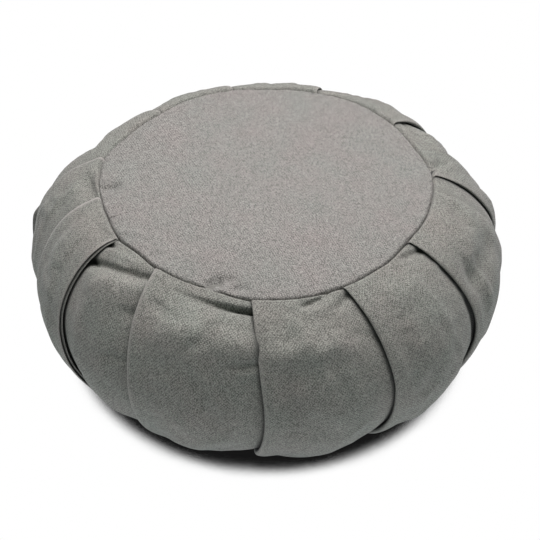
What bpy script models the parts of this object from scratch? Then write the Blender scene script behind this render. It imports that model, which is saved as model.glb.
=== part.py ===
"""Zafu meditation cushion: a round, firmly filled cushion of grey cotton canvas.

The cover is three cut pieces: a round top panel, a round bottom panel, and one long side band that is
laid in knife pleats and sewn to both rounds. The band's solid is the filled body of the cushion, and the
two panels are sheets of cloth over and under it.

Metres, +Z up. The origin is the middle of the underside, on the surface that the cushion stands on.
"""

from math import atan2, cos, degrees, pi, radians, sin

import bmesh
import bpy

# ---- Driving sizes ------------------------------------------------------------------------------
SIDE_REACH = 0.1735         # from the middle to the plain side at the waist, between crowns and folds
HEIGHT = 0.150              # floor to the crown of the top panel
SIDE_RADIUS = 0.0735        # radius of the side's round section
SEAM_RADIUS = 0.122         # of the top and bottom rounds, on average
TOP_SEAM_DROP = 0.0065      # crown of the top panel down to the bottom of the seam's crease
BOTTOM_SEAM_RISE = 0.0055   # floor up to the crease of the bottom seam
CLOTH = 0.002               # thickness of a panel with its turned seam
GAP = 0.0003                # between pieces that touch

# ---- Side band ----------------------------------------------------------------------------------
SHOULDER = radians(25)      # the plain round of the side starts and ends this far from the vertical
SIDE_ROWS = 13              # rows of points over that round
PANEL_STEP = 7.5            # degrees between points across a pleat, at the most about this
PANEL_CROWN = 0.0025        # how far a pleat's cloth stands out between two folds, at the waist
SEWN_SHARE = 0.35           # share of a lap's height left where it is sewn down flat
MM = 0.001

# How the band turns over from the seam to its shoulder.
#   out  distance out from the seam
#   up   distance above the bottom of the crease (below it, at the foot)
CREASE = [
    dict(out=0.0, up=0.0),
    dict(out=0.9, up=0.9),
    dict(out=3.0, up=1.4),
]

# One row for each pleat's folded edge, counted anticlockwise from +X.
#   at       the edge's angle at the top seam, in degrees
#   seam     radius of the top seam there, in mm
#   between  radius of the top seam half way to the next edge, in mm
#   waist    how far the edge has wandered at the waist, in degrees
#   foot     how far it has wandered at the bottom seam, in degrees
#   lap      height of the lap, as a share of the usual one
#   faces    the way that the edge faces: -1 clockwise, +1 anticlockwise
FOLDS = [
    dict(at=5.5, seam=122.5, between=119.0, waist=1.5, foot=-2.0, lap=1.3, faces=-1),
    dict(at=38.0, seam=120.5, between=120.5, waist=-2.0, foot=-3.0, lap=1.0, faces=-1),
    dict(at=72.0, seam=123.0, between=119.0, waist=2.0, foot=3.0, lap=1.1, faces=-1),
    dict(at=105.0, seam=121.5, between=122.5, waist=3.0, foot=2.0, lap=0.9, faces=-1),
    dict(at=135.0, seam=120.0, between=122.5, waist=2.0, foot=4.0, lap=1.0, faces=-1),
    dict(at=164.5, seam=126.0, between=124.0, waist=3.5, foot=5.0, lap=0.9, faces=-1),
    dict(at=188.0, seam=121.5, between=120.0, waist=4.5, foot=5.0, lap=0.8, faces=-1),
    dict(at=210.0, seam=121.5, between=119.5, waist=0.0, foot=9.0, lap=1.6, faces=1),
    dict(at=231.0, seam=121.0, between=121.5, waist=5.5, foot=4.0, lap=0.9, faces=-1),
    dict(at=265.5, seam=125.5, between=125.5, waist=3.5, foot=0.0, lap=1.1, faces=-1),
    dict(at=294.5, seam=124.0, between=122.0, waist=6.0, foot=2.0, lap=1.0, faces=-1),
    dict(at=326.5, seam=118.5, between=120.5, waist=3.0, foot=-1.0, lap=1.2, faces=-1),
]

# Section through a lap, from the cloth underneath to the pleat on top.
#   along  mm round the cushion from the folded edge, towards the pleat on top
#   out    mm over the plain side
LAP = [
    dict(along=-15.0, out=-0.3),
    dict(along=-6.0, out=-1.8),
    dict(along=1.0, out=-2.8),
    dict(along=6.5, out=-3.2),
    dict(along=1.6, out=-1.6),
    dict(along=-0.5, out=-0.9),
    dict(along=-0.9, out=0.5),
    dict(along=0.9, out=1.5),
    dict(along=6.0, out=1.8),
]
LAP_FLOOR = -3.2            # the lowest point of the section above, in mm

# ---- Panels -------------------------------------------------------------------------------------
ROUND_STEPS = 60            # sides of the two rounds
CROWN_POWER = 5             # how squarely the top panel turns down to its seam
TOP_RINGS = (0.45, 0.72, 0.88, 0.96, 1.0)       # shares of the seam's radius
REST_SHARE = 0.82           # share of the bottom panel's radius that lies flat on the floor
BOTTOM_RINGS = (REST_SHARE, 0.91, 0.97, 1.0)

CANVAS_ROUGHNESS = 0.9


def clear_scene():
    for old in list(bpy.data.objects):
        bpy.data.objects.remove(old)


def canvas(name, colour):
    """A plain cotton canvas. The colour is linear red, green and blue."""
    material = bpy.data.materials.new(name)
    material.use_nodes = True
    shader = material.node_tree.nodes["Principled BSDF"]
    shader.inputs["Base Color"].default_value = (*colour, 1.0)
    shader.inputs["Roughness"].default_value = CANVAS_ROUGHNESS
    shader.inputs["Metallic"].default_value = 0.0
    return material


def add_piece(name, bm, material):
    """Turns a finished bmesh into the object of one sub-part."""
    bmesh.ops.recalc_face_normals(bm, faces=bm.faces)
    mesh = bpy.data.meshes.new(name)
    bm.to_mesh(mesh)
    bm.free()
    mesh.materials.append(material)
    piece = bpy.data.objects.new(name, mesh)
    bpy.context.scene.collection.objects.link(piece)
    return piece


def eased(share):
    """0 to 1 with a level start and end."""
    share = min(max(share, 0.0), 1.0)
    return share * share * (3 - 2 * share)


def place(vert, angle, radius, height):
    vert.co = (radius * cos(angle), radius * sin(angle), height)


def following_fold(index):
    """The next fold round, with its angle counted on past 360 degrees after the last one."""
    following = dict(FOLDS[(index + 1) % len(FOLDS)])
    if index == len(FOLDS) - 1:
        following["at"] += 360
    return following


# ---- The seam's outline, which the rounds and the band share --------------------------------------
def seam_radius(angle):
    """Radius of the seam at an angle: eased from each fold to the middle of the pleat, and on to the next."""
    first = FOLDS[0]["at"]
    around = first + (degrees(angle) - first) % 360
    for index, fold in enumerate(FOLDS):
        following = following_fold(index)
        if around > following["at"]:
            continue
        middle = (fold["at"] + following["at"]) / 2
        if around <= middle:
            share = (around - fold["at"]) / (middle - fold["at"])
            start, end = fold["seam"], fold["between"]
        else:
            share = (around - middle) / (following["at"] - middle)
            start, end = fold["between"], following["seam"]
        return (start + (end - start) * eased(share)) * MM
    return SEAM_RADIUS


# ---- Rounds -------------------------------------------------------------------------------------
def top_height(share):
    """Height of the top panel's upper face at a share of the seam's radius."""
    return HEIGHT - TOP_SEAM_DROP * share**CROWN_POWER


def bottom_height(share):
    """Height of the bottom panel's lower face at a share of the seam's radius."""
    return BOTTOM_SEAM_RISE * max(0.0, (share - REST_SHARE) / (1 - REST_SHARE)) ** 2


def round_sheet(bm, rings):
    """Adds a sheet of rings about +Z, from the middle out, and returns the edges of its rim.

    A ring is (share of the seam's radius, distance beyond that, height).
    """
    rim = bmesh.ops.create_circle(bm, cap_ends=True, segments=ROUND_STEPS, radius=1)["verts"]
    for index, (share, beyond, height) in enumerate(rings):
        if index:
            edges = {edge for vert in rim for edge in vert.link_edges if edge.is_boundary}
            grown = bmesh.ops.extrude_edge_only(bm, edges=list(edges))["geom"]
            rim = [item for item in grown if isinstance(item, bmesh.types.BMVert)]
        for vert in rim:
            angle = atan2(vert.co.y, vert.co.x)
            place(vert, angle, seam_radius(angle) * share + beyond, height)
    return [edge for edge in {edge for vert in rim for edge in vert.link_edges} if edge.is_boundary]


def round_panel(name, rings, thickness, material):
    """A round of cloth: its outer face at the rings, and its other face a thickness away along Z."""
    bm = bmesh.new()
    round_sheet(bm, rings)
    grown = bmesh.ops.extrude_face_region(bm, geom=bm.faces[:])["geom"]
    other_face = [item for item in grown if isinstance(item, bmesh.types.BMVert)]
    bmesh.ops.translate(bm, verts=other_face, vec=(0, 0, thickness))
    return add_piece(name, bm, material)


# ---- Band ---------------------------------------------------------------------------------------
def fold_angle(fold, down):
    """Angle of a folded edge, at a share of the way down from the top seam to the bottom seam."""
    if down < 0.5:
        wander = fold["waist"] * eased(down / 0.5)
    else:
        wander = fold["waist"] + (fold["foot"] - fold["waist"]) * eased((down - 0.5) / 0.5)
    return radians(fold["at"] + wander)


def lap_points(fold, down, radius):
    """The lap's section in the order of the angle round the cushion: (angle, mm over the plain side)."""
    edge = fold_angle(fold, down)
    rows = LAP if fold["faces"] < 0 else LAP[::-1]
    return [(edge - fold["faces"] * row["along"] * MM / radius, row["out"] * fold["lap"]) for row in rows]


def pleat_section(down, radius):
    """The band's section at one level, all the way round: (angle, mm over the plain side, 0 to 1 crown)."""
    points = []
    for index, fold in enumerate(FOLDS):
        following = following_fold(index)
        lap = lap_points(fold, down, radius)
        start_angle, start_out = lap[-1]
        end_angle, end_out = lap_points(following, down, radius)[0]
        steps = max(3, round((following["at"] - fold["at"]) / PANEL_STEP))
        points += [(angle, out, 0.0) for angle, out in lap]
        for step in range(1, steps):
            share = step / steps
            angle = start_angle + (end_angle - start_angle) * share
            points.append((angle, start_out + (end_out - start_out) * share, sin(pi * share)))
    return points


def band_rows():
    """Rows from the top seam to the bottom seam: (share of the way down, radius, height, 0 sewn to 1 full)."""
    top = [(SEAM_RADIUS + GAP + row["out"] * MM, HEIGHT - TOP_SEAM_DROP + row["up"] * MM) for row in CREASE]
    foot = [(radius, BOTTOM_SEAM_RISE - (height - top[0][1])) for radius, height in reversed(top)]
    side = []
    for row in range(SIDE_ROWS):
        angle = SHOULDER + (pi - 2 * SHOULDER) * row / (SIDE_ROWS - 1)
        radius = SIDE_REACH - SIDE_RADIUS * (1 - sin(angle))
        side.append((radius, HEIGHT / 2 + SIDE_RADIUS * cos(angle)))
    levels = top + side + foot
    rows = []
    for index, (radius, height) in enumerate(levels):
        down = index / (len(levels) - 1)
        from_seam = min(index, len(levels) - 1 - index)
        rows.append((down, radius, height, eased(from_seam / (len(CREASE) + 1))))
    return rows


def band_place(down, radius, height, fullness, point):
    """(angle, radius, height) of one point of the pleated side."""
    angle, out, crown = point
    sewn = (out - LAP_FLOOR * 1.6) * SEWN_SHARE
    standing = sewn + (out - sewn) * fullness
    off_round = (seam_radius(angle) - SEAM_RADIUS) * (1 - eased(min(down, 1 - down) / 0.4))
    reach = radius + off_round + standing * MM + PANEL_CROWN * crown * fullness
    return angle, reach, height


def pleated_band(material):
    """The filled body: the strip laid in pleats round the side, closed under the top and bottom rounds."""
    rows = band_rows()
    sections = [pleat_section(down, radius) for down, radius, height, fullness in rows]
    across = len(sections[0])
    bm = bmesh.new()
    # The strip: columns run round the cushion, rows run down it. Its two ends meet and are joined.
    bmesh.ops.create_grid(bm, x_segments=across, y_segments=len(rows) - 1, size=0.5)
    for vert in bm.verts:
        column = round((vert.co.x + 0.5) * across) % across
        index = round((0.5 - vert.co.y) * (len(rows) - 1))
        down, radius, height, fullness = rows[index]
        place(vert, *band_place(down, radius, height, fullness, sections[index][column]))
    bmesh.ops.remove_doubles(bm, verts=bm.verts, dist=GAP / 100)
    seams = [edge for edge in bm.edges if edge.is_boundary]
    top_seam = [edge for edge in seams if edge.verts[0].co.z > HEIGHT / 2]
    bottom_seam = [edge for edge in seams if edge.verts[0].co.z < HEIGHT / 2]

    under = CLOTH + GAP
    top_rings = [(share, 0.0, top_height(share) - under) for share in TOP_RINGS[:-1]]
    top_rings += [(1.0, GAP, top_height(1.0) - under), (1.0, GAP, top_height(1.0))]
    top_rim = round_sheet(bm, top_rings)
    bottom_rings = [(share, 0.0, bottom_height(share) + under) for share in BOTTOM_RINGS[:-1]]
    bottom_rings += [(1.0, GAP, bottom_height(1.0) + under), (1.0, GAP, bottom_height(1.0))]
    bottom_rim = round_sheet(bm, bottom_rings)
    bmesh.ops.triangle_fill(bm, edges=top_seam + top_rim, use_beauty=True, normal=(0, 0, 1))
    bmesh.ops.triangle_fill(bm, edges=bottom_seam + bottom_rim, use_beauty=True, normal=(0, 0, -1))
    return add_piece("pleated_band", bm, material)


clear_scene()

top_panel = round_panel(
    "top_panel",
    [(share, 0.0, top_height(share)) for share in TOP_RINGS],
    -CLOTH,
    canvas("top_canvas", (0.33, 0.315, 0.30)),
)
bottom_panel = round_panel(
    "bottom_panel",
    [(share, 0.0, bottom_height(share)) for share in BOTTOM_RINGS],
    CLOTH,
    canvas("bottom_canvas", (0.31, 0.30, 0.285)),
)
band = pleated_band(canvas("band_canvas", (0.31, 0.30, 0.285)))
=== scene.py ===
from math import cos, pi, radians, sin

import bmesh
import bpy
import numpy as np
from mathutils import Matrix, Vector


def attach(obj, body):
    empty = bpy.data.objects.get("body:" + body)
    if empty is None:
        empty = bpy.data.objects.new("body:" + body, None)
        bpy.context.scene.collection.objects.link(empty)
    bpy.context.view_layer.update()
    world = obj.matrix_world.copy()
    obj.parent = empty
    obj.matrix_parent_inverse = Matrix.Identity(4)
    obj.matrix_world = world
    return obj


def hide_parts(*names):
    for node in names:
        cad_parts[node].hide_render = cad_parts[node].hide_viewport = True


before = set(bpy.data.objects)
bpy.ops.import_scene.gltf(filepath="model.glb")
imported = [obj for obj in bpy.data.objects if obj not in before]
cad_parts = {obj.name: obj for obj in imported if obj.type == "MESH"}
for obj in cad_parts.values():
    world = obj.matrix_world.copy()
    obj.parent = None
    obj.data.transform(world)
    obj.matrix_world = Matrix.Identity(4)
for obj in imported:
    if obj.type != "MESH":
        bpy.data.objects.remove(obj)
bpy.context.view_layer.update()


# ---- Pleated band -------------------------------------------------------------------------------
# One long strip of grey cotton canvas, laid in knife pleats and sewn to the top and bottom rounds, then
# swelled out by the filling. It is folded here from a flat grid, with a column for each line of thread
# that a fold moves.

MM = 0.001

# The filled cushion is a round of even section. Its side is a half circle about a middle circle, and the
# seams, near the top and the foot of the side, are where the band meets the two rounds.
SIDE_RADIUS = 75 * MM
MIDDLE_RADIUS = 100 * MM    # from the axis to the centre of the side's half circle
WAIST_HEIGHT = 75 * MM
SEAM_ROLL = 2.0 * MM        # radius with which the cloth turns down into a seam
SEAM_DEPTH = 3.4 * MM       # how deep it goes down there
SEAM_TURN = radians(100)    # how far it turns
SEAM_GAP = 0.6 * MM         # from the seam's line to the cloth on either side
PUCKER_LENGTH = 11 * MM     # the stitches draw the cloth up and down along the top seam
PUCKER_HEIGHT = 0.35 * MM
PUCKER_REACH = 9 * MM
PUCKER_ROUND = 0.12         # radius along which the puckers are counted, in metres
TOP_SEAM_AT = radians(15)   # where the top seam lies on the side, counted over the side from the crown

# One row for each pleat's folded edge, counted anticlockwise from +X.
#   at       the edge's angle at the top seam, in degrees
#   seam     radius of the top seam there, in mm
#   between  radius of the top seam half way to the next edge, in mm
#   neck, waist, foot   degrees that the edge has wandered by a fifth of the way down, half way and the foot
#   lap      height of the lap, as a share of the usual one
#   reach    how far the side stands out there beyond the even round, in mm, minus for a slack place
#   crown    how far the pleat that starts at this edge swells out, in mm
#   rim      how strong the painted highlight along the edge is
#   faces    the way that the edge faces: -1 clockwise, +1 anticlockwise
PLEATS = [
    dict(name="F", at=5.2, seam=122.6, between=118.9, neck=-0.2, waist=4.5, foot=0.0,
         lap=1.0, reach=-0.5, crown=-3.5, rim=0.3, faces=-1),
    dict(name="G", at=37.5, seam=120.6, between=123.6, neck=2.0, waist=1.0, foot=-3.0,
         lap=1.2, reach=-2.5, crown=1.0, rim=0.3, faces=-1),
    dict(name="J", at=72.0, seam=122.0, between=118.6, neck=1.0, waist=2.0, foot=3.0,
         lap=0.9, reach=-8.0, crown=-0.5, rim=0.3, faces=-1),
    dict(name="K", at=103.0, seam=121.6, between=123.0, neck=1.5, waist=3.0, foot=2.0,
         lap=0.6, reach=-9.5, crown=-3.0, rim=0.3, faces=-1),
    dict(name="L", at=133.0, seam=119.8, between=121.0, neck=1.0, waist=2.0, foot=4.0,
         lap=0.6, reach=-9.0, crown=-4.0, rim=0.3, faces=-1),
    dict(name="I", at=164.5, seam=126.4, between=123.9, neck=4.0, waist=6.5, foot=8.0,
         lap=1.3, reach=3.5, crown=0.5, rim=0.8, faces=-1),
    dict(name="H", at=188.0, seam=121.4, between=120.4, neck=0.0, waist=4.0, foot=5.0,
         lap=0.9, reach=-2.5, crown=0.0, rim=0.8, faces=-1),
    dict(name="A", at=210.0, seam=121.4, between=119.3, neck=-1.2, waist=0.4, foot=10.0,
         lap=0.8, reach=-2.5, crown=1.0, rim=0.4, faces=1),
    dict(name="B", at=231.2, seam=120.8, between=121.6, neck=2.3, waist=5.9, foot=5.7,
         lap=1.5, reach=-1.5, crown=0.5, rim=0.4, faces=-1),
    dict(name="C", at=265.5, seam=125.4, between=125.4, neck=2.4, waist=5.0, foot=0.6,
         lap=1.5, reach=-1.5, crown=1.0, rim=0.2, faces=-1),
    dict(name="D", at=294.8, seam=124.0, between=121.6, neck=4.3, waist=7.0, foot=5.6,
         lap=1.35, reach=-0.8, crown=1.6, rim=0.15, faces=-1),
    dict(name="E", at=326.3, seam=119.0, between=120.6, neck=2.2, waist=6.2, foot=1.5,
         lap=1.25, reach=-2.5, crown=-0.5, rim=0.2, faces=-1),
]

def eased(share):
    """0 to 1 with a level start and end."""
    share = np.clip(share, 0.0, 1.0)
    return share * share * (3 - 2 * share)


def eased_round(angle, at, value):
    """A value that is known at some degrees round the cushion, eased from each of them to the next."""
    around = at[0] + (np.degrees(angle) - at[0]) % 360
    index = np.clip(np.searchsorted(at, around, side="right") - 1, 0, len(at) - 2)
    share = eased((around - at[index]) / (at[index + 1] - at[index]))
    return value[index] * (1 - share) + value[index + 1] * share


def seam_radius(angle):
    """Radius of the seams at an angle, from each fold to the middle of its pleat and on to the next."""
    stations = []
    for index, pleat in enumerate(PLEATS):
        following = PLEATS[(index + 1) % len(PLEATS)]
        gap = (following["at"] - pleat["at"]) % 360
        stations.append((pleat["at"], pleat["seam"]))
        stations.append((pleat["at"] + gap / 2, pleat["between"]))
    stations.append((stations[0][0] + 360, stations[0][1]))
    at, radius = np.array(stations).T
    return eased_round(angle, at, radius) * MM


def side_reach(angle):
    """How far the side stands out beyond the even round at an angle, in metres."""
    at = np.array([pleat["at"] for pleat in PLEATS] + [PLEATS[0]["at"] + 360])
    reach = np.array([pleat["reach"] for pleat in PLEATS] + [PLEATS[0]["reach"]])
    return eased_round(angle, at, reach) * MM


def soft_noise(x, y, seed):
    """Slow, even unevenness from about -1 to 1 over two lengths counted in its own wavelength."""
    total = np.zeros(np.broadcast(x, y).shape)
    source = np.random.default_rng(seed)
    for wave in range(9):
        direction = source.uniform(0, 2 * pi)
        rate = 2 * pi * source.uniform(0.6, 1.5)
        total += np.sin(rate * (x * cos(direction) + y * sin(direction)) + source.uniform(0, 2 * pi))
    return total / 4.5


def seam_pucker(angle, from_seam):
    """How the stitches draw the cloth up and down close to the top seam, in metres."""
    around = angle * PUCKER_ROUND / PUCKER_LENGTH
    pucker = soft_noise(around, 0.0 * around, 21) + 0.6 * soft_noise(around * 2.3, 0.0 * around, 22)
    return PUCKER_HEIGHT * pucker * np.exp(-((np.abs(from_seam) / PUCKER_REACH) ** 2))


# Section through a lap, from the cloth underneath to the pleat on top.
#   along  mm round the cushion from the folded edge, towards the pleat on top
#   out    mm over the plain side
#   rim      how far the point is on the very edge, where a highlight is painted on the cloth
#   tuck     how far the point lies in the shade of a fold, where the cloth is painted dark
KNIFE_LAP = [
    dict(along=-17.0, out=0.0),
    dict(along=-9.0, out=-0.8),
    dict(along=-3.8, out=-1.7, tuck=0.1),
    dict(along=-0.6, out=-2.4, tuck=1.0),
    dict(along=5.0, out=-2.9, tuck=1.0),
    dict(along=9.0, out=-3.0, tuck=1.0),
    dict(along=8.8, out=-2.2, tuck=1.0),
    dict(along=4.0, out=-1.7, tuck=1.0),
    dict(along=0.4, out=-1.3, tuck=1.0),
    dict(along=-1.2, out=-0.9, rim=0.3, tuck=0.4),
    dict(along=-1.6, out=0.2, rim=1.0),
    dict(along=-0.6, out=1.1, rim=1.0),
    dict(along=2.4, out=1.6),
    dict(along=7.0, out=1.6),
    dict(along=13.0, out=1.2),
]
# Where the strip's end laps over its start, the edge is doubled and stands a little off the cloth below.
END_LAP = [
    dict(along=-15.0, out=-0.6),
    dict(along=-8.0, out=-2.0),
    dict(along=-3.6, out=-2.8),
    dict(along=0.6, out=-4.6, tuck=1.0),
    dict(along=7.0, out=-5.6, tuck=1.0),
    dict(along=6.6, out=-2.4, tuck=1.0),
    dict(along=2.4, out=-1.9, tuck=1.0),
    dict(along=-1.0, out=-1.6, tuck=0.8),
    dict(along=-2.2, out=-0.8, rim=0.6),
    dict(along=-1.6, out=-0.1, rim=0.3, tuck=0.4),
    dict(along=2.2, out=-0.1, tuck=1.0),
    dict(along=2.4, out=0.9, tuck=1.0),
    dict(along=-0.2, out=1.1, tuck=0.6),
    dict(along=-1.0, out=1.9, rim=1.0),
    dict(along=-0.4, out=2.7, rim=1.0),
    dict(along=2.4, out=3.0),
    dict(along=7.0, out=2.7),
    dict(along=13.0, out=1.9),
]

def lap_table(pleat):
    """A lap's section as four arrays, anticlockwise: along and out in metres, then rim and tuck."""
    rows = KNIFE_LAP if pleat["faces"] < 0 else END_LAP[::-1]
    along = np.array([row["along"] for row in rows]) * MM
    out = np.array([row["out"] for row in rows]) * MM
    rim = np.array([row.get("rim", 0.0) for row in rows]) * pleat["rim"]
    tuck = np.array([row.get("tuck", 0.0) for row in rows])
    return -pleat["faces"] * along, out * pleat["lap"], rim, tuck


WANDER_AT = (0, 0.2, 0.5, 0.85, 1)      # shares of the way down at which a fold's wander is given
WANDER_ROWS = 13                        # rows over which its turns are smoothed


def fold_line(pleat, down):
    """Angle of a folded edge at each share of the way down, in radians."""
    turns = [0, pleat["neck"], pleat["waist"], pleat["foot"], pleat["foot"]]
    wander = np.pad(np.interp(down, WANDER_AT, turns), WANDER_ROWS // 2, mode="edge")
    smoothed = np.convolve(wander, np.ones(WANDER_ROWS) / WANDER_ROWS, mode="valid")
    return np.radians(pleat["at"] + smoothed)


ARC_ROWS = 52               # rows of cloth down the side, and in the roll into each seam
ROLL_ROWS = 4
ROWS_CROWDED = 1.35         # over 1, the rows lie closer near the top, where the creases are finest
PANEL_SPACING = 4.2 * MM    # between columns on the face of a pleat
FEWEST_COLUMNS = 8
LAPS_WIDTH = 30 * MM        # what the laps take of the width of a pleat
SEAM_SHARE = 0.12           # share of the way down at which the girth is already that of the seam
FACE_HELD = 6               # the laps hold this fraction of a pleat's face, a sixth, at each side


def band_sections():
    """The strip's columns: their angle at each row, and their height, crown, painted highlight and shade,
    hold and pleat number.
    """
    down = np.linspace(0, 1, ARC_ROWS + 2 * ROLL_ROWS) ** ROWS_CROWDED
    girth = MIDDLE_RADIUS + SIDE_RADIUS * np.sin(pi * np.clip(down, SEAM_SHARE, 1 - SEAM_SHARE))
    angles, outs, crowns, rims, tucks, holds, numbers = [], [], [], [], [], [], []
    for index, pleat in enumerate(PLEATS):
        following = dict(PLEATS[(index + 1) % len(PLEATS)])
        if index == len(PLEATS) - 1:
            following["at"] += 360
        along, out, rim, tuck = lap_table(pleat)
        next_along, next_out, _, _ = lap_table(following)
        edge = fold_line(pleat, down)
        next_edge = fold_line(following, down)
        for offset, height in zip(along, out):
            angles.append(edge + offset / girth)
            outs.append(height)
            crowns.append(0.0)
        rims += list(rim)
        tucks += list(tuck)
        holds += [1.0] * len(rim)
        # The valley of a lap parts two pleats: what lies before it belongs to the pleat before.
        valley = int(np.argmin(out))
        first_own = valley if pleat["faces"] < 0 else valley + 1
        numbers += [index if column >= first_own else index - 1 for column in range(len(out))]
        start = edge + along[-1] / girth
        end = next_edge + next_along[0] / girth
        width = radians(following["at"] - pleat["at"]) * (MIDDLE_RADIUS + SIDE_RADIUS)
        steps = max(FEWEST_COLUMNS, round((width - LAPS_WIDTH) / PANEL_SPACING))
        for step in range(1, steps):
            share = step / steps
            angles.append(start + (end - start) * share)
            outs.append(out[-1] + (next_out[0] - out[-1]) * share)
            crowns.append(pleat["crown"] * MM * sin(pi * share))
            rims.append(0.0)
            tucks.append(0.0)
            holds.append(1 - float(eased(FACE_HELD * min(share, 1 - share))))
            numbers.append(index)
    painted_light = np.stack([rims, tucks])
    return (down, np.array(angles).T, np.array(outs), np.array(crowns), painted_light, np.array(holds),
            np.array(numbers) % len(PLEATS))


ARC_FOOT = radians(160)     # where the bottom seam lies on the side, counted from the crown
SEWN_SHARE = 0.55           # height of a lap at the seams, where it is sewn down
LAP_RISE = 26 * MM          # how far from a seam a lap has its full height
SWELL_RISE = 60 * MM        # how far from a seam a pleat swells fully
UNEVEN_SWELL = 0.7 * MM
SEAM_HELD = 3 * MM          # the seam holds the cloth still this close to it
SEAM_FREE = 12 * MM         # and lets it go over this much more


def band_points():
    """Places of the strip's points, rows x columns x 3, with their painted highlight and shade, hold and
    pleat number.
    """
    down, angle, out, crown, painted_light, hold, number = band_sections()
    rows = len(down)
    seam = seam_radius(angle) + SEAM_GAP
    start = np.arcsin((seam + SEAM_ROLL - MIDDLE_RADIUS) / SIDE_RADIUS)
    row = np.arange(rows)
    arc_share = np.clip((row - ROLL_ROWS) / (ARC_ROWS - 1), 0, 1)[:, None] ** ROWS_CROWDED
    profile = start + (ARC_FOOT - start) * arc_share
    # In a seam's roll the cloth turns over a further quarter circle, to face the round it is sewn to.
    into_top = np.clip((ROLL_ROWS - row) / ROLL_ROWS, 0, 1)[:, None] * SEAM_TURN
    into_foot = np.clip((row - (rows - 1 - ROLL_ROWS)) / ROLL_ROWS, 0, 1)[:, None] * SEAM_TURN
    turn = into_top + into_foot
    toward = np.where(into_top > 0, -1.0, 1.0)
    normal = np.stack([np.sin(profile), np.cos(profile)])
    tangent = np.stack([np.cos(profile), -np.sin(profile)]) * toward
    depth = SEAM_DEPTH * (1 - np.cos(turn))
    reach = SEAM_ROLL * np.sin(turn)

    from_seam = SIDE_RADIUS * np.minimum(profile - start, ARC_FOOT - profile)
    fullness = SEWN_SHARE + (1 - SEWN_SHARE) * eased(from_seam / LAP_RISE)
    swell = eased(from_seam / SWELL_RISE)
    lift = out * fullness + (crown + side_reach(angle)) * swell - depth
    lift = lift + UNEVEN_SWELL * soft_noise(angle * 4.0, profile * 1.6, 3) * swell
    radial = MIDDLE_RADIUS + (SIDE_RADIUS + lift) * normal[0] + reach * tangent[0]
    height = WAIST_HEIGHT + (SIDE_RADIUS + lift) * normal[1] + reach * tangent[1]
    points = np.stack([radial * np.cos(angle), radial * np.sin(angle), height], axis=-1)
    held = np.maximum(hold, 1 - eased((from_seam - SEAM_HELD) / SEAM_FREE))
    return points, painted_light, held, number


PLEAT_CLOTH = 0.13          # metres of the strip from the middle of one pleat to the next


def cloth_lengths(points, number):
    """Metres of cloth across and down at each point. Each pleat's threads run along its own middle."""
    across_steps = np.linalg.norm(np.diff(points, axis=1, append=points[:, :1]), axis=2)
    across = np.cumsum(across_steps, axis=1)
    across = np.concatenate([np.zeros((len(points), 1)), across[:, :-1]], axis=1)
    for index in range(len(PLEATS)):
        columns = np.flatnonzero(number == index)
        if index == number[0] and index == number[-1]:
            columns = columns[columns > len(number) / 2]
        middle = columns[len(columns) // 2]
        across[:, columns] -= across[:, [middle]] - PLEAT_CLOTH * index
    down_steps = np.linalg.norm(np.diff(points, axis=0), axis=2).mean(axis=1)
    down = np.concatenate([[0.0], np.cumsum(down_steps)])
    return across, np.repeat(down[:, None], points.shape[1], axis=1)


def read_points(mesh):
    """A mesh's vertices as an array of places."""
    points = np.empty(len(mesh.vertices) * 3)
    mesh.vertices.foreach_get("co", points)
    return points.reshape(-1, 3)


def write_points(mesh, points):
    """Moves a mesh's vertices to new places."""
    mesh.vertices.foreach_set("co", np.ascontiguousarray(points, np.float32).ravel())
    mesh.update()


def write_cloth_uv(mesh, across, down):
    """Sets the cloth UV map from the cloth's own lengths at each vertex, in metres."""
    layer = mesh.uv_layers.new(name="cloth")
    corners = np.empty(len(mesh.loops), np.int32)
    mesh.loops.foreach_get("vertex_index", corners)
    layer.data.foreach_set("uv", np.column_stack([across[corners], down[corners]]).ravel())


MERGE_DISTANCE = 0.001 * MM


def fold_band():
    """The strip as a mesh, folded round the cushion and joined end to end."""
    points, (rim, tuck), held, number = band_points()
    across, down = cloth_lengths(points, number)
    rows, columns, _ = points.shape
    bm = bmesh.new()
    bmesh.ops.create_grid(bm, x_segments=columns, y_segments=rows - 1, size=0.5)
    mesh = bpy.data.meshes.new("pleated_band_cover")
    bm.to_mesh(mesh)
    bm.free()
    flat = read_points(mesh)
    column = np.rint((flat[:, 0] + 0.5) * columns).astype(int) % columns
    row = np.rint((0.5 - flat[:, 1]) * (rows - 1)).astype(int)
    write_cloth_uv(mesh, across[row, column], down[row, column])
    for name, values in (("pleat", number[column]), ("fold_highlight_mask", rim[column]), ("gap_shade_mask", tuck[column]),
                         ("held", held[row, column])):
        attribute = mesh.attributes.new(name, "FLOAT", "POINT")
        attribute.data.foreach_set("value", values.astype(np.float32))
    write_points(mesh, points[row, column])
    bm = bmesh.new()
    bm.from_mesh(mesh)
    bmesh.ops.remove_doubles(bm, verts=bm.verts, dist=MERGE_DISTANCE)
    bm.to_mesh(mesh)
    bm.free()
    return mesh


# How the cloth settles on the filling.
PRESSURE = 4.0
STRETCH = 15
SHEAR = 5
BENDING = 0.5
CLOTH_WEIGHT = 0.3
SPARE_CLOTH = 0.035         # share by which the strip is longer than the shape that it is laid on
SETTLE_STEPS = 5
SETTLE_FRAMES = 20
SETTLE_CAP = 3.5 * MM


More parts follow.
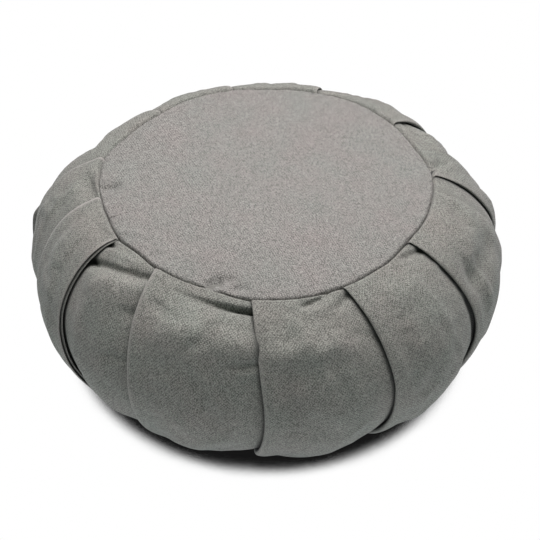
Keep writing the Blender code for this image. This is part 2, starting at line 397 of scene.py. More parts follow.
def settle_filling(piece):
    """Lets the filling press the cloth out between its folds, as cloth that is sewn and folded can move."""
    before = read_points(piece.data)
    held = np.empty(len(before), np.float32)
    piece.data.attributes["held"].data.foreach_get("value", held)
    group = piece.vertex_groups.new(name="held")
    for index, weight in enumerate(held):
        group.add([index], float(weight), "REPLACE")
    cloth = piece.modifiers.new("filling", "CLOTH")
    cloth.settings.quality = SETTLE_STEPS
    cloth.settings.mass = CLOTH_WEIGHT
    cloth.settings.tension_stiffness = STRETCH
    cloth.settings.compression_stiffness = STRETCH
    cloth.settings.shear_stiffness = SHEAR
    cloth.settings.bending_stiffness = BENDING
    cloth.settings.shrink_min = -SPARE_CLOTH
    cloth.settings.vertex_group_mass = "held"
    cloth.settings.use_pressure = True
    cloth.settings.uniform_pressure_force = PRESSURE
    cloth.settings.effector_weights.gravity = 0
    cloth.collision_settings.use_collision = False
    cloth.point_cache.frame_start = 1
    cloth.point_cache.frame_end = SETTLE_FRAMES
    for frame_number in range(1, SETTLE_FRAMES + 1):
        bpy.context.scene.frame_set(frame_number)
    graph = bpy.context.evaluated_depsgraph_get()
    settled = piece.evaluated_get(graph)
    moved = read_points(settled.to_mesh()) - before
    settled.to_mesh_clear()
    far = np.linalg.norm(moved, axis=1)
    moved *= (np.minimum(far, SETTLE_CAP) / np.maximum(far, 1e-9))[:, None]
    piece.modifiers.remove(cloth)
    piece.vertex_groups.remove(group)
    bpy.context.scene.frame_set(1)
    write_points(piece.data, before + moved)


# Creases in the side. Each is a line on the plain side from one end to the other.
#   pleat         the pleat whose cloth it lies in, named by the fold that the pleat starts at
#   start, end    angle round the cushion and angle over the side from the crown, in degrees
#   deep          mm inwards at its middle, minus for a ridge
#   above, below  mm from its line to where it has mostly died out, on the crown's side and the foot's
#   fades         share of its length over which each end dies out
CREASES = [
    dict(pleat="L", start=(168.8, 68), end=(170.5, 104), deep=-8.0, above=3.5, below=8.0, fades=(0.5, 0.08)),
    dict(pleat="I", start=(172, 28), end=(187, 19.5), deep=4.4, above=4.5, below=8.0, fades=(0.5, 0.2)),
    dict(pleat="I", start=(166, 21), end=(182, 32), deep=-1.2, above=3.0, below=5.0, fades=(0.4, 0.6)),
    dict(pleat="I", start=(176, 40), end=(188, 46), deep=1.0, above=5.0, below=7.0, fades=(0.5, 0.2)),
    dict(pleat="H", start=(200, 24), end=(210, 19), deep=1.2, above=2.5, below=5.0, fades=(0.6, 0.1)),
    dict(pleat="H", start=(199, 74), end=(209, 82), deep=1.2, above=5.0, below=7.0, fades=(0.6, 0.1)),
    dict(pleat="A", start=(209.5, 35.5), end=(232, 22.5), deep=3.6, above=2.4, below=4.6, fades=(0.05, 0.1)),
    dict(pleat="A", start=(211, 26), end=(226, 19.5), deep=-1.3, above=3.0, below=3.0, fades=(0.3, 0.3)),
    dict(pleat="A", start=(212, 43), end=(231, 32), deep=-4.4, above=5.0, below=16.0, fades=(0.3, 0.2)),
    dict(pleat="A", start=(209, 22.5), end=(213, 21.5), deep=3.2, above=1.8, below=2.6, fades=(0.1, 0.6)),
    dict(pleat="A", start=(209, 36.5), end=(213.5, 36), deep=2.4, above=2.0, below=3.0, fades=(0.05, 0.6)),
    dict(pleat="A", start=(228, 48), end=(235, 42.5), deep=2.0, above=3.0, below=5.0, fades=(0.6, 0.2)),
    dict(pleat="A", start=(225, 75), end=(235, 71), deep=1.6, above=3.0, below=5.0, fades=(0.6, 0.2)),
    dict(pleat="A", start=(214, 98), end=(226, 106), deep=1.0, above=5.0, below=5.0, fades=(0.4, 0.5)),
    dict(pleat="B", start=(238, 24.2), end=(268.5, 27.2), deep=3.4, above=1.9, below=5.5, fades=(0.8, 0.05)),
    dict(pleat="B", start=(252, 26.2), end=(268.5, 27.2), deep=3.4, above=1.5, below=1.7, fades=(0.8, 0.05)),
    dict(pleat="B", start=(240, 43), end=(268.5, 47), deep=-6.4, above=11.0, below=15.0, fades=(0.5, 0.15)),
    dict(pleat="B", start=(236, 34), end=(249.5, 40), deep=1.8, above=2.6, below=5.0, fades=(0.3, 0.5)),
    dict(pleat="B", start=(238, 47), end=(256, 62), deep=-1.0, above=6.0, below=8.0, fades=(0.4, 0.5)),
    dict(pleat="B", start=(260, 57), end=(268.5, 54.5), deep=2.0, above=2.4, below=3.6, fades=(0.6, 0.1)),
    dict(pleat="B", start=(261, 62), end=(268.5, 60), deep=-1.1, above=2.5, below=3.5, fades=(0.6, 0.2)),
    dict(pleat="B", start=(243, 96), end=(240, 124), deep=1.0, above=4.0, below=6.0, fades=(0.4, 0.4)),
    dict(pleat="C", start=(269, 50), end=(294, 51), deep=-3.8, above=10.0, below=9.0, fades=(0.3, 0.4)),
    dict(pleat="C", start=(280, 26), end=(287, 22), deep=3.0, above=1.7, below=4.0, fades=(0.4, 0.3)),
    dict(pleat="C", start=(287.5, 23.5), end=(289.5, 18.5), deep=2.4, above=1.8, below=2.6, fades=(0.4, 0.3)),
    dict(pleat="C", start=(290.2, 30.5), end=(295.5, 23), deep=3.2, above=1.8, below=3.4, fades=(0.4, 0.2)),
    dict(pleat="C", start=(279, 29.5), end=(289, 27.5), deep=-1.0, above=3.0, below=4.0, fades=(0.4, 0.4)),
    dict(pleat="C", start=(274, 56), end=(277.5, 102), deep=1.2, above=3.4, below=5.0, fades=(0.4, 0.4)),
    dict(pleat="C", start=(270.5, 60), end=(272.5, 96), deep=-0.9, above=3.0, below=4.0, fades=(0.4, 0.4)),
    dict(pleat="C", start=(290, 44), end=(300, 52), deep=1.2, above=4.0, below=6.0, fades=(0.5, 0.2)),
    dict(pleat="D", start=(317.5, 19.5), end=(327, 22.5), deep=3.0, above=1.8, below=4.0, fades=(0.5, 0.1)),
    dict(pleat="D", start=(321, 31), end=(328, 36), deep=-1.0, above=4.0, below=5.0, fades=(0.5, 0.2)),
    dict(pleat="D", start=(300.5, 50), end=(303, 76), deep=-0.9, above=4.0, below=5.0, fades=(0.4, 0.4)),
    dict(pleat="D", start=(303.5, 84), end=(306, 108), deep=-1.3, above=3.0, below=3.0, fades=(0.4, 0.4)),
    dict(pleat="D", start=(301, 84), end=(303, 112), deep=1.0, above=3.0, below=3.0, fades=(0.4, 0.4)),
    dict(pleat="E", start=(339.5, 46), end=(338.5, 86), deep=-1.9, above=4.2, below=4.2, fades=(0.4, 0.3)),
    dict(pleat="E", start=(335.5, 46), end=(335, 86), deep=1.1, above=4.2, below=4.2, fades=(0.4, 0.4)),
    dict(pleat="E", start=(332, 57), end=(352, 60), deep=4.2, above=14.0, below=10.0, fades=(0.3, 0.3)),
    dict(pleat="D", start=(330, 62), end=(331.5, 96), deep=1.6, above=4.0, below=4.0, fades=(0.3, 0.3)),
    dict(pleat="F", start=(7.5, 17), end=(16, 34), deep=3.6, above=5.0, below=3.0, fades=(0.05, 0.5)),
    dict(pleat="F", start=(9, 24), end=(17, 46), deep=-1.8, above=3.0, below=3.0, fades=(0.3, 0.4)),
    dict(pleat="F", start=(11, 58), end=(11.5, 104), deep=-3.0, above=5.0, below=6.0, fades=(0.4, 0.4)),
    dict(pleat="F", start=(32, 19), end=(24, 38), deep=-2.0, above=2.6, below=2.6, fades=(0.4, 0.5)),
    dict(pleat="F", start=(28, 22), end=(37, 26), deep=2.0, above=2.0, below=3.6, fades=(0.5, 0.1)),
    dict(pleat="G", start=(44, 22), end=(54, 40), deep=1.6, above=3.0, below=5.0, fades=(0.2, 0.5)),
    dict(pleat="G", start=(62, 52), end=(73, 44), deep=1.8, above=3.0, below=6.0, fades=(0.5, 0.1)),
    dict(pleat="G", start=(56, 86), end=(74, 92), deep=1.2, above=5.0, below=6.0, fades=(0.5, 0.2)),
    dict(pleat="J", start=(82, 40), end=(105, 30), deep=2.4, above=2.6, below=5.0, fades=(0.5, 0.1)),
    dict(pleat="J", start=(86, 52), end=(106, 60), deep=-1.4, above=5.0, below=7.0, fades=(0.4, 0.3)),
    dict(pleat="J", start=(92, 84), end=(107, 78), deep=1.5, above=4.0, below=5.0, fades=(0.6, 0.1)),
    dict(pleat="K", start=(112, 28), end=(134, 34), deep=2.0, above=2.6, below=5.0, fades=(0.5, 0.1)),
    dict(pleat="K", start=(115, 66), end=(136, 74), deep=1.6, above=4.0, below=7.0, fades=(0.4, 0.1)),
    dict(pleat="L", start=(140, 30), end=(158, 44), deep=1.2, above=4.0, below=6.0, fades=(0.3, 0.5)),
]
CREASE_TIPS = 0.12          # share of its length that a crease runs on past each end
OWN_CLOTH = 0.25            # how near a point's pleat number is to that of a pleat whose cloth it is


def crease_depth(angle, profile, crease):
    """How deep one crease presses at each place on the side."""
    start = np.radians(crease["start"])
    end = np.radians(crease["end"])
    middle_profile = (start[1] + end[1]) / 2
    girth = MIDDLE_RADIUS + SIDE_RADIUS * sin(middle_profile)
    scale = np.array([girth, SIDE_RADIUS])
    line = (end - start) * scale
    length = np.hypot(*line)
    off = (angle - start[0] + pi) % (2 * pi) - pi
    place = np.stack([off * scale[0], (profile - start[1]) * scale[1]])
    share = (place[0] * line[0] + place[1] * line[1]) / length**2
    aside = (place[1] * line[0] - place[0] * line[1]) / length * np.sign(line[0])
    wide = np.where(aside < 0, crease["above"], crease["below"]) * MM
    first, last = crease["fades"]
    tips = eased((share + CREASE_TIPS) / first) * eased((1 + CREASE_TIPS - share) / last)
    return crease["deep"] * MM * tips * np.exp(-((aside / wide) ** 2))


def press_creases(mesh):
    """Presses every crease, and the puckers of the top seam, into the settled band."""
    points = read_points(mesh)
    number = np.empty(len(points), np.float32)
    mesh.attributes["pleat"].data.foreach_get("value", number)
    angle = np.arctan2(points[:, 1], points[:, 0])
    beyond = np.hypot(points[:, 0], points[:, 1]) - MIDDLE_RADIUS
    profile = np.arctan2(beyond, points[:, 2] - WAIST_HEIGHT)
    lift = np.zeros(len(points))
    names = [pleat["name"] for pleat in PLEATS]
    for crease in CREASES:
        own = np.abs(number - names.index(crease["pleat"])) < OWN_CLOTH
        lift -= own * crease_depth(angle, profile, crease)
    lift += seam_pucker(angle, SIDE_RADIUS * (profile - TOP_SEAM_AT))
    outward = np.column_stack([
        np.sin(profile) * np.cos(angle), np.sin(profile) * np.sin(angle), np.cos(profile),
    ])
    write_points(mesh, points + outward * lift[:, None])


def apply_modifiers(piece):
    """Keeps the shape that the modifiers make as the piece's own mesh."""
    graph = bpy.context.evaluated_depsgraph_get()
    shaped = bpy.data.meshes.new_from_object(piece.evaluated_get(graph))
    old = piece.data
    piece.modifiers.clear()
    piece.data = shaped
    bpy.data.meshes.remove(old)


def close_seams(mesh):
    """Closes the band across its top and bottom seams, under the two rounds."""
    bm = bmesh.new()
    bm.from_mesh(mesh)
    rims = [edge for edge in bm.edges if edge.is_boundary]
    bmesh.ops.holes_fill(bm, edges=rims, sides=0)
    bmesh.ops.recalc_face_normals(bm, faces=bm.faces)
    bm.to_mesh(mesh)
    bm.free()


# The canvas of the whole cover is in plain weave, spun from light and dark fibre, so that single threads
# differ a little. One group makes its tone and its relief from the cloth's own lengths.
THREAD_PITCH = 1.15 * MM
CANVAS_WARM = (0.176, 0.168, 0.160)
CANVAS_COOL = (0.164, 0.170, 0.159)
THREAD_LIGHT = 1.58         # lightest and darkest threads, against the middle grey
THREAD_DARK = 0.5
FIBRE_BITS = 2.3            # bits of light or dark fibre to a thread's width
BIT_CONTRAST = 1.3          # what the bits, the runs, the crossings and the thread's roundness do to its tone
RUN_CONTRAST = 0.2
CROSSING_CONTRAST = 0.34
ROUND_CONTRAST = 0.45
ROUND_MIDDLE = 0.63         # mean height over a round thread
RUN_LENGTHWISE = 0.22       # how fast a run of one tone changes along its thread and across it
RUN_CROSSWISE = 0.9
WEAVE_RELIEF = 0.3 * MM
WEAVE_BUMP = 0.6
DYE_PATCH = 38 * MM         # how far apart the slightly warmer and cooler places of the dye lie
PATCH_CONTRAST = 2.2
PAINTED_EDGE_HIGHLIGHT = 1.8          # painted highlight along a folded edge
PAINTED_GAP_SHADE = 0.3          # painted shade in and beside the gap under a folded edge
FUZZ = 0.12                 # sheen of the loose fibre
FUZZ_ROUGHNESS = 0.5
COTTON_GLOSS = 0.12
COTTON_ROUGHNESS = 0.92


def socket_of(group, name, direction, kind, value=None):
    """One input or output of a node group, with its usual value."""
    socket = group.interface.new_socket(name=name, in_out=direction, socket_type=kind)
    if value is not None:
        socket.default_value = value
    return socket


def math_node(tree, operation, first, second=None):
    """A Math node. Either input is a socket or a number."""
    node = tree.nodes.new("ShaderNodeMath")
    node.operation = operation
    for index, value in enumerate((first, second)):
        if isinstance(value, bpy.types.NodeSocket):
            tree.links.new(value, node.inputs[index])
        elif value is not None:
            node.inputs[index].default_value = value
    return node.outputs[0]


def stretched_noise(tree, x, y, x_scale, y_scale, detail):
    """Noise drawn out along one thread direction: a small scale makes it long that way."""
    place = tree.nodes.new("ShaderNodeCombineXYZ")
    tree.links.new(math_node(tree, "MULTIPLY", x, x_scale), place.inputs["X"])
    tree.links.new(math_node(tree, "MULTIPLY", y, y_scale), place.inputs["Y"])
    noise = tree.nodes.new("ShaderNodeTexNoise")
    noise.noise_dimensions = "2D"
    noise.inputs["Scale"].default_value = 1.0
    noise.inputs["Detail"].default_value = detail
    noise.inputs["Roughness"].default_value = 0.6
    tree.links.new(place.outputs[0], noise.inputs["Vector"])
    return noise.outputs["Fac"]


def mixed(tree, factor, first, second):
    """first where factor is 0, second where it is 1."""
    node = tree.nodes.new("ShaderNodeMix")
    node.data_type = "FLOAT"
    tree.links.new(factor, node.inputs["Factor"])
    tree.links.new(first, node.inputs["A"])
    tree.links.new(second, node.inputs["B"])
    return node.outputs["Result"]


def limited(tree, value):
    """A value kept between 0 and 1."""
    node = tree.nodes.new("ShaderNodeClamp")
    tree.links.new(value, node.inputs["Value"])
    return node.outputs[0]


def make_weave_group():
    """Plain weave of heathered yarn.

    Thread is 0 to 1 from the darkest place on a thread to the lightest, Height 0 to 1 is the relief, and
    Patch 0 to 1 is the slow drift of the dye.
    """
    group = bpy.data.node_groups.new("plain_weave", "ShaderNodeTree")
    socket_of(group, "Cloth", "INPUT", "NodeSocketVector")
    socket_of(group, "Thread Pitch", "INPUT", "NodeSocketFloat", THREAD_PITCH)
    socket_of(group, "Patch Size", "INPUT", "NodeSocketFloat", DYE_PATCH)
    socket_of(group, "Thread", "OUTPUT", "NodeSocketFloat")
    socket_of(group, "Height", "OUTPUT", "NodeSocketFloat")
    socket_of(group, "Patch", "OUTPUT", "NodeSocketFloat")
    given = group.nodes.new("NodeGroupInput")
    result = group.nodes.new("NodeGroupOutput")

    split = group.nodes.new("ShaderNodeSeparateXYZ")
    group.links.new(given.outputs["Cloth"], split.inputs[0])
    x = math_node(group, "DIVIDE", split.outputs["X"], given.outputs["Thread Pitch"])
    y = math_node(group, "DIVIDE", split.outputs["Y"], given.outputs["Thread Pitch"])

    wave_x = math_node(group, "SINE", math_node(group, "MULTIPLY", x, pi))
    wave_y = math_node(group, "SINE", math_node(group, "MULTIPLY", y, pi))
    weft_on_top = math_node(group, "GREATER_THAN", math_node(group, "MULTIPLY", wave_x, wave_y), 0.0)
    warp_round = math_node(group, "ABSOLUTE", wave_x)
    weft_round = math_node(group, "ABSOLUTE", wave_y)
    relief = mixed(group, weft_on_top, warp_round, weft_round)

    # The yarn is spun of light and dark fibre, in bits shorter than a crossing, and a thread keeps its
    # own tone for a few crossings.
    place = group.nodes.new("ShaderNodeCombineXYZ")
    for axis, along in (("X", x), ("Y", y)):
        counted = math_node(group, "FLOOR", math_node(group, "MULTIPLY", along, FIBRE_BITS))
        group.links.new(counted, place.inputs[axis])
    bit = group.nodes.new("ShaderNodeTexWhiteNoise")
    bit.noise_dimensions = "2D"
    group.links.new(place.outputs[0], bit.inputs["Vector"])
    warp_tone = stretched_noise(group, x, y, RUN_CROSSWISE, RUN_LENGTHWISE, 1.0)
    weft_tone = stretched_noise(group, x, y, RUN_LENGTHWISE, RUN_CROSSWISE, 1.0)
    run = mixed(group, weft_on_top, warp_tone, weft_tone)
    tone = 0.5
    for value, middle, contrast in (
        (bit.outputs["Value"], 0.5, BIT_CONTRAST),
        (run, 0.5, RUN_CONTRAST),
        (weft_on_top, 0.5, CROSSING_CONTRAST),
        (relief, ROUND_MIDDLE, ROUND_CONTRAST),
    ):
        part = math_node(group, "MULTIPLY", math_node(group, "SUBTRACT", value, middle), contrast)
        tone = math_node(group, "ADD", part, tone)
    group.links.new(limited(group, tone), result.inputs["Thread"])
    group.links.new(relief, result.inputs["Height"])

    drift_x = math_node(group, "DIVIDE", split.outputs["X"], given.outputs["Patch Size"])
    drift_y = math_node(group, "DIVIDE", split.outputs["Y"], given.outputs["Patch Size"])
    drift = stretched_noise(group, drift_x, drift_y, 1.0, 1.0, 4.0)
    centred = math_node(group, "SUBTRACT", drift, 0.5)
    sharper = math_node(group, "ADD", math_node(group, "MULTIPLY", centred, PATCH_CONTRAST), 0.5)
    group.links.new(limited(group, sharper), result.inputs["Patch"])
    return group


weave_group = make_weave_group()


def canvas_material(name, light_tint):
    """Canvas whose threads follow the piece's own UV map, which is in metres of cloth.

    The last argument is painted light: a tint that makes the band a little greener than the top, for the
    cooler light that falls on its sides.
    """
    material = bpy.data.materials.new(name)
    material.use_nodes = True
    tree = material.node_tree
    shader = tree.nodes["Principled BSDF"]
    shader.inputs["Sheen Weight"].default_value = FUZZ
    shader.inputs["Sheen Roughness"].default_value = FUZZ_ROUGHNESS
    shader.inputs["Specular IOR Level"].default_value = COTTON_GLOSS
    shader.inputs["Roughness"].default_value = COTTON_ROUGHNESS

    cloth = tree.nodes.new("ShaderNodeUVMap")
    cloth.uv_map = "cloth"
    weave = tree.nodes.new("ShaderNodeGroup")
    weave.node_tree = weave_group
    tree.links.new(cloth.outputs[0], weave.inputs["Cloth"])

    def blended(factor, first, second):
        """Colour mix node. Each colour is a socket or three numbers."""
        node = tree.nodes.new("ShaderNodeMix")
        node.data_type = "RGBA"
        tree.links.new(factor, node.inputs["Factor"])
        for letter, colour in (("A", first), ("B", second)):
            if isinstance(colour, bpy.types.NodeSocket):
                tree.links.new(colour, node.inputs[letter])
            else:
                node.inputs[letter].default_value = (*colour, 1.0)
        return node.outputs["Result"]

    def dyed(share):
        """The cloth's colour times a share, drifting between its warm and its cool grey, with the piece's
        painted light tint.
        """
        warm = [share * part * tint for part, tint in zip(CANVAS_WARM, light_tint)]
        cool = [share * part * tint for part, tint in zip(CANVAS_COOL, light_tint)]
        return blended(weave.outputs["Patch"], warm, cool)

    colour = blended(weave.outputs["Thread"], dyed(THREAD_DARK), dyed(THREAD_LIGHT))
    # Painted highlight: the cloth is made paler along each folded edge, for the light that its lip catches.
    rim = tree.nodes.new("ShaderNodeAttribute")
    rim.attribute_name = "fold_highlight_mask"
    highlighted = blended(rim.outputs["Fac"], colour, [PAINTED_EDGE_HIGHLIGHT * part for part in CANVAS_WARM])
    # Painted shade: the cloth in and beside the gap under each folded edge is darkened, for the shadow there.
    tuck = tree.nodes.new("ShaderNodeAttribute")
    tuck.attribute_name = "gap_shade_mask"
    with_painted_light = blended(tuck.outputs["Fac"], highlighted, [PAINTED_GAP_SHADE * part for part in CANVAS_COOL])
    tree.links.new(with_painted_light, shader.inputs["Base Color"])

    bump = tree.nodes.new("ShaderNodeBump")
    bump.inputs["Strength"].default_value = WEAVE_BUMP
    bump.inputs["Distance"].default_value = WEAVE_RELIEF
    tree.links.new(weave.outputs["Height"], bump.inputs["Height"])
    tree.links.new(bump.outputs["Normal"], shader.inputs["Normal"])
    return material


def finished_piece(name, mesh, material_name, light_tint):
    """Puts a mesh in the scene as a named piece of canvas."""
    piece = bpy.data.objects.new(name, mesh)
    bpy.context.scene.collection.objects.link(piece)
    mesh.materials.append(canvas_material(material_name, light_tint))
    mesh.shade_smooth()
    return piece


# Painted light: the band and the bottom round are tinted a little greener than the top, for the cooler light
# on the sides.
BAND_LIGHT_TINT = (0.975, 1.0, 0.965)

band = finished_piece("pleated_band_cover", fold_band(), "band_canvas", BAND_LIGHT_TINT)
settle_filling(band)
finer = band.modifiers.new("finer", "SUBSURF")
finer.levels = 1
finer.render_levels = 1
apply_modifiers(band)
press_creases(band.data)
close_seams(band.data)
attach(band, "root")
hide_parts("pleated_band")


# ---- Top panel ----------------------------------------------------------------------------------
# A round of the same canvas, stretched over the filling with a low crown. Its edge turns down into the
# seam, and beside some of the folds the sewing has drawn it into short wrinkles.

TOP_LIGHT_TINT = (1.0, 1.0, 1.0)
CROWN_HEIGHT = 150 * MM
CROWN_FLATNESS = 4          # the higher, the flatter the middle and the steeper the edge
UNEVEN_CROWN = 0.5 * MM
UNEVEN_LENGTH = 0.05
TOP_THREAD_TURN = 0.35      # how far the threads are turned from +X, in radians
TOP_RINGS = 84
TOP_SIDES = 512
SEAM_TURN_ROWS = 5          # rings in the edge's turn into the seam
SIDES_CROWDED = 0.55        # how much closer the grid's lines lie where the wrinkles are
WRINKLED_SIDE = radians(218)
CLOTH_THICK = 1.0 * MM


def round_grid(name, rings, sides):
    """A grid for a round sheet: the mesh, and each vertex's share of the radius and angle."""
    bm = bmesh.new()
    bmesh.ops.create_grid(bm, x_segments=sides, y_segments=rings, size=0.5)
    mesh = bpy.data.meshes.new(name)
    bm.to_mesh(mesh)
    bm.free()
    flat = read_points(mesh)
    even = 2 * pi * flat[:, 0]
    return mesh, flat[:, 1] + 0.5, even - SIDES_CROWDED * np.sin(even - WRINKLED_SIDE)


def close_round(mesh, facing_up):
    """Joins the ends of a round's grid and its points in the middle."""
    bm = bmesh.new()
    bm.from_mesh(mesh)
    bmesh.ops.remove_doubles(bm, verts=bm.verts, dist=MERGE_DISTANCE)
    bmesh.ops.recalc_face_normals(bm, faces=bm.faces)
    if (sum(face.normal.z for face in bm.faces) > 0) != facing_up:
        bmesh.ops.reverse_faces(bm, faces=bm.faces)
    bm.to_mesh(mesh)
    bm.free()


def thicken(piece):
    """Gives a round the thickness of its cloth, on the side of the filling."""
    thick = piece.modifiers.new("thick", "SOLIDIFY")
    thick.thickness = CLOTH_THICK
    thick.offset = -1.0
    apply_modifiers(piece)


# Wrinkles in the top panel.
#   start, end    angle round the cushion in degrees and share of the seam's radius
#   deep          mm down at its middle, minus for a ridge
#   left, right   mm from its line to where it has mostly died out, going in from the seam
#   fades         share of its length over which each end dies out
TOP_WRINKLES = [
    dict(start=(181.6, 0.985), end=(180.2, 0.85), deep=4.4, left=3.0, right=9.5, fades=(0.2, 0.6)),
    dict(start=(208.0, 0.98), end=(214.0, 0.88), deep=-1.6, left=3.0, right=3.0, fades=(0.3, 0.5)),
    dict(start=(249.3, 0.985), end=(253.5, 0.895), deep=4.2, left=3.0, right=7.0, fades=(0.2, 0.4)),
    dict(start=(252.5, 0.905), end=(259.5, 0.87), deep=2.8, left=2.6, right=5.0, fades=(0.3, 0.6)),
    dict(start=(257.5, 0.95), end=(265.0, 0.92), deep=2.4, left=2.8, right=3.5, fades=(0.3, 0.5)),
    dict(start=(310.0, 0.98), end=(313.0, 0.9), deep=0.8, left=2.4, right=4.0, fades=(0.3, 0.6)),
    dict(start=(8.0, 0.98), end=(12.0, 0.9), deep=0.8, left=2.4, right=4.0, fades=(0.3, 0.6)),
    dict(start=(72.0, 0.98), end=(74.0, 0.88), deep=0.8, left=2.6, right=4.0, fades=(0.3, 0.6)),
    dict(start=(120.0, 0.98), end=(118.0, 0.88), deep=0.8, left=2.6, right=4.0, fades=(0.3, 0.6)),
]
WRINKLE_TIPS = 0.1          # share of its length that a wrinkle runs on past each end


def wrinkle_depth(x, y, wrinkle):
    """How deep one wrinkle sinks at each place on the round."""
    ends = []
    for degrees, share in (wrinkle["start"], wrinkle["end"]):
        radius = share * float(seam_radius(np.array([radians(degrees)]))[0])
        ends.append((radius * cos(radians(degrees)), radius * sin(radians(degrees))))
    (x0, y0), (x1, y1) = ends
    length = np.hypot(x1 - x0, y1 - y0)
    share = ((x - x0) * (x1 - x0) + (y - y0) * (y1 - y0)) / length**2
    aside = ((y - y0) * (x1 - x0) - (x - x0) * (y1 - y0)) / length
    wide = np.where(aside > 0, wrinkle["left"], wrinkle["right"]) * MM
    first, last = wrinkle["fades"]
    tips = eased((share + WRINKLE_TIPS) / first) * eased((1 + WRINKLE_TIPS - share) / last)
    return wrinkle["deep"] * MM * tips * np.exp(-((aside / wide) ** 2))


def top_cover():
    """The top round: a low crown that meets the side, its edge turned into the seam."""
    mesh, share, angle = round_grid("top_panel_cover", TOP_RINGS, TOP_SIDES)
    seam = seam_radius(angle) - SEAM_GAP
    turn_rings = SEAM_TURN_ROWS / TOP_RINGS
    into_seam = np.clip((share - (1 - turn_rings)) / turn_rings, 0, 1) * SEAM_TURN
    flat_share = np.clip(share / (1 - turn_rings), 0, 1)
    edge_angle = np.arcsin((seam + SEAM_ROLL - MIDDLE_RADIUS) / SIDE_RADIUS)
    edge_height = WAIST_HEIGHT + SIDE_RADIUS * np.cos(edge_angle)
    radius = (seam - SEAM_ROLL) * flat_share + SEAM_ROLL * np.sin(into_seam)
    height = CROWN_HEIGHT - (CROWN_HEIGHT - edge_height) * flat_share**CROWN_FLATNESS
    height = height - SEAM_DEPTH * (1 - np.cos(into_seam))
    x, y = radius * np.cos(angle), radius * np.sin(angle)
    uneven = soft_noise(x / UNEVEN_LENGTH, y / UNEVEN_LENGTH, 11)
    height = height + UNEVEN_CROWN * uneven * (1 - flat_share**6)
    height = height + seam_pucker(angle, seam - radius)
    for wrinkle in TOP_WRINKLES:
        height = height - wrinkle_depth(x, y, wrinkle)
    write_points(mesh, np.column_stack([x, y, height]))
    turned, lying = sin(TOP_THREAD_TURN), cos(TOP_THREAD_TURN)
    write_cloth_uv(mesh, x * lying - y * turned, x * turned + y * lying)
    close_round(mesh, facing_up=True)
    return mesh


top = finished_piece("top_panel_cover", top_cover(), "top_canvas", TOP_LIGHT_TINT)
thicken(top)
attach(top, "root")
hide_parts("top_panel")


# ---- Bottom panel -------------------------------------------------------------------------------
# The round under the cushion, of the same canvas and cut to the same size. It lies flat on the floor and
# turns up to its seam.

BOTTOM_RINGS = 24
BOTTOM_SIDES = 192
REST_SHARE = 0.82           # share of its radius that lies flat
BOTTOM_SEAM_RISE = 5.5 * MM
BOTTOM_SEAM_GAP = 0.2 * MM


def bottom_cover():
    """The bottom round: flat where it rests, and curving up at its edge."""
    mesh, share, angle = round_grid("bottom_panel_cover", BOTTOM_RINGS, BOTTOM_SIDES)
    radius = share * (seam_radius(angle) - BOTTOM_SEAM_GAP)
    height = BOTTOM_SEAM_RISE * np.clip((share - REST_SHARE) / (1 - REST_SHARE), 0, 1) ** 2
    x, y = radius * np.cos(angle), radius * np.sin(angle)
    write_points(mesh, np.column_stack([x, y, height]))
    write_cloth_uv(mesh, x, y)
    close_round(mesh, facing_up=False)
    return mesh


bottom = finished_piece("bottom_panel_cover", bottom_cover(), "bottom_canvas", BAND_LIGHT_TINT)
thicken(bottom)
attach(bottom, "root")
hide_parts("bottom_panel")


# ---- Floor, light and camera ----------------------------------------------------------------------
# A plain pale table under one soft box close above. To the camera it is plain white, with a painted shadow
# close round the cushion. The table glows a little of its own, which lights the sides from below.

FLOOR_SIDE = 8.0
FLOOR_COLOUR = (0.64, 0.66, 0.645)
FLOOR_GLOW = 0.66
GLOW_COLOUR = (0.97, 1.0, 1.08)
CONTACT_REACH = 350 * MM    # how far off the cushion still takes open sky from a place on the floor
CONTACT_DARK = 0.272        # share of the open sky that still leaves the floor dark, and that makes it white
CONTACT_WHITE = 0.398
CONTACT_BLACK = 0.008       # how dark the floor is at its darkest
CONTACT_SAMPLES = 48


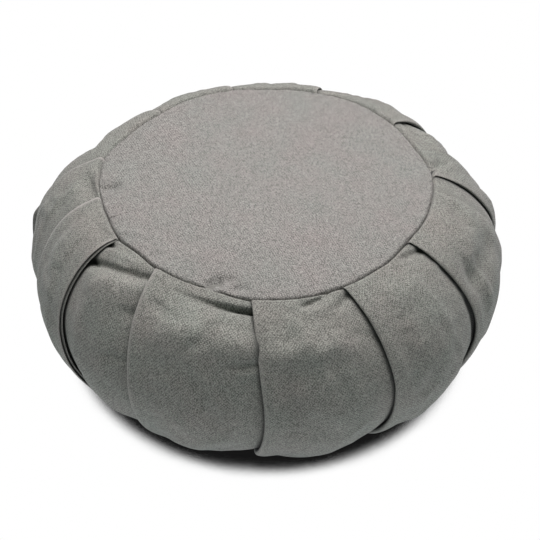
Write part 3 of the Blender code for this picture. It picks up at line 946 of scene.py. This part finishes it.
def floor_look():
    """What the camera sees is white with a painted shadow, darker where less open sky is seen. Every other
    ray meets a pale floor that glows.
    """
    material = bpy.data.materials.new("pale_floor")
    material.use_nodes = True
    tree = material.node_tree
    tree.nodes.remove(tree.nodes["Principled BSDF"])
    # Painted shadow: the camera's white is darkened by ambient occlusion near the cushion, not by the soft
    # box's light.
    shade = tree.nodes.new("ShaderNodeAmbientOcclusion")
    shade.inputs["Distance"].default_value = CONTACT_REACH
    shade.samples = CONTACT_SAMPLES
    spread = tree.nodes.new("ShaderNodeMapRange")
    spread.interpolation_type = "SMOOTHSTEP"
    spread.inputs["From Min"].default_value = CONTACT_DARK
    spread.inputs["From Max"].default_value = CONTACT_WHITE
    spread.inputs["To Min"].default_value = CONTACT_BLACK
    tree.links.new(shade.outputs["AO"], spread.inputs["Value"])
    seen = tree.nodes.new("ShaderNodeEmission")
    seen.inputs["Color"].default_value = (1.0, 1.0, 1.0, 1.0)
    tree.links.new(spread.outputs["Result"], seen.inputs["Strength"])
    lit = tree.nodes.new("ShaderNodeBsdfDiffuse")
    lit.inputs["Color"].default_value = (*FLOOR_COLOUR, 1.0)
    glow = tree.nodes.new("ShaderNodeEmission")
    glow.inputs["Color"].default_value = (*GLOW_COLOUR, 1.0)
    glow.inputs["Strength"].default_value = FLOOR_GLOW
    both = tree.nodes.new("ShaderNodeAddShader")
    tree.links.new(lit.outputs[0], both.inputs[0])
    tree.links.new(glow.outputs[0], both.inputs[1])
    path = tree.nodes.new("ShaderNodeLightPath")
    either = tree.nodes.new("ShaderNodeMixShader")
    tree.links.new(path.outputs["Is Camera Ray"], either.inputs["Fac"])
    tree.links.new(both.outputs[0], either.inputs[1])
    tree.links.new(seen.outputs[0], either.inputs[2])
    tree.links.new(either.outputs[0], tree.nodes["Material Output"].inputs["Surface"])
    return material


bm = bmesh.new()
bmesh.ops.create_grid(bm, x_segments=1, y_segments=1, size=FLOOR_SIDE / 2)
floor_mesh = bpy.data.meshes.new("floor")
bm.to_mesh(floor_mesh)
bm.free()
floor = bpy.data.objects.new("floor", floor_mesh)
bpy.context.scene.collection.objects.link(floor)
floor_mesh.materials.append(floor_look())

BOX_PLACE = Vector((0.045, 0.12, 0.95))
BOX_AIM = Vector((0, 0, 0.1))
BOX_SIDE = 0.6
BOX_POWER = 15.4
BOX_COLOUR = (1.0, 0.945, 0.955)
STUDIO_COLOUR = (0.88, 1.0, 0.89)
STUDIO_BRIGHTNESS = 0.16

light = bpy.data.lights.new("overhead", "AREA")
light.shape = "SQUARE"
light.size = BOX_SIDE
light.energy = BOX_POWER
light.color = BOX_COLOUR
soft_box = bpy.data.objects.new("overhead", light)
soft_box.location = BOX_PLACE
soft_box.rotation_euler = (BOX_AIM - BOX_PLACE).to_track_quat("-Z", "Y").to_euler()
bpy.context.scene.collection.objects.link(soft_box)

world = bpy.data.worlds.new("studio")
world.use_nodes = True
world.node_tree.nodes["Background"].inputs["Color"].default_value = (*STUDIO_COLOUR, 1.0)
world.node_tree.nodes["Background"].inputs["Strength"].default_value = STUDIO_BRIGHTNESS
bpy.context.scene.world = world
bpy.context.scene.view_settings.view_transform = "Standard"

CAMERA_DISTANCE = 1.4
CAMERA_RISE = radians(40.5)
CAMERA_LENS = 123.5
CAMERA_AIM = Vector((0.0022, 0.0, 0.0627))
CAMERA_CENTRE = Vector((0.0, 0.0, 0.075))

camera_data = bpy.data.cameras.new("camera")
camera_data.lens = CAMERA_LENS
camera = bpy.data.objects.new("camera", camera_data)
camera.location = CAMERA_CENTRE + CAMERA_DISTANCE * Vector((0, -cos(CAMERA_RISE), sin(CAMERA_RISE)))
camera.rotation_euler = (CAMERA_AIM - camera.location).to_track_quat("-Z", "Y").to_euler()
bpy.context.scene.collection.objects.link(camera)
bpy.context.scene.camera = camera
